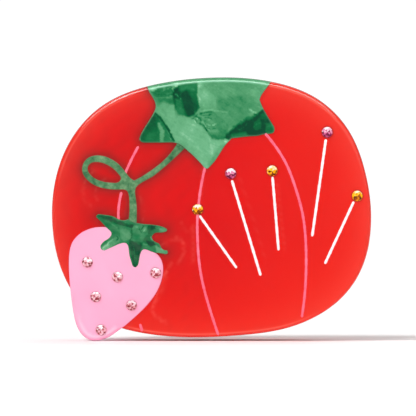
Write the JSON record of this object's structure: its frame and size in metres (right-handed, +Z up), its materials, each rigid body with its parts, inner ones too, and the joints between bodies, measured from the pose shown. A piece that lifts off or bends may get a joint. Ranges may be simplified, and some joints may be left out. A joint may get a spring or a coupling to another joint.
{
  "type": "hair claw",
  "caption": "Hair claw: two inlaid acetate plates cut as a tomato pin cushion with a strawberry, curved interleaving combs behind, steel pin and torsion spring.",
  "frame": {"origin": "under the middle of the closed claw, level with its lowest point (the strawberry tips), on the mid-plane between the two jaws", "axes": "+X to the right as the front jaw is looked at, +Z up towards the handles, the front jaw faces -Y"},
  "size_m": [0.0901, 0.04, 0.0744],
  "materials": {
    "red_acetate": "polished acetate, clear depth, translucent at thin edges",
    "green_marble_acetate": "polished pearly marbled acetate",
    "vine_green_acetate": "polished pearly acetate, thin inlay",
    "pink_acetate": "polished opaque acetate",
    "pink_paint": "hand-filled enamel line",
    "white_paint": "hand-filled enamel line",
    "amber_crystal": "foil-backed faceted glass",
    "rose_crystal": "foil-backed faceted glass",
    "pale_crystal": "foil-backed faceted glass",
    "hinge_steel": "nickel-plated steel, polished",
    "spring_steel": "drawn spring wire"
  },
  "bodies": {
    "front_jaw": {"front_plate": "red_acetate", "front_cap_leaf": "green_marble_acetate", "front_vine": "vine_green_acetate", "front_strawberry": "pink_acetate", "front_strawberry_leaf": "green_marble_acetate", "front_seam_inlays": "pink_paint", "front_pin_inlays": "white_paint", "front_amber_crystals": "amber_crystal", "front_rose_crystals": "rose_crystal", "front_seed_crystals": "pale_crystal", "front_comb": "red_acetate", "front_hinge_lugs": "red_acetate", "hinge_pin": "hinge_steel", "hinge_pin_cap": "hinge_steel", "torsion_spring": "spring_steel"},
    "rear_jaw": {"rear_plate": "red_acetate", "rear_cap_leaf": "green_marble_acetate", "rear_vine": "vine_green_acetate", "rear_strawberry": "pink_acetate", "rear_strawberry_leaf": "green_marble_acetate", "rear_seam_inlays": "pink_paint", "rear_pin_inlays": "white_paint", "rear_amber_crystals": "amber_crystal", "rear_rose_crystals": "rose_crystal", "rear_seed_crystals": "pale_crystal", "rear_comb": "red_acetate", "rear_hinge_lugs": "red_acetate"}
  },
  "joints": [
    {"name": "jaw_hinge", "type": "hinge", "parent": "front_jaw", "child": "rear_jaw", "pos_m": [0, 0, 0.04934], "axis": [1, 0, 0], "range_deg": [0, 62], "stiffness_Nm_per_rad": 0.05, "springref_deg": -28.65, "deforming": ["torsion_spring"]}
  ]
}
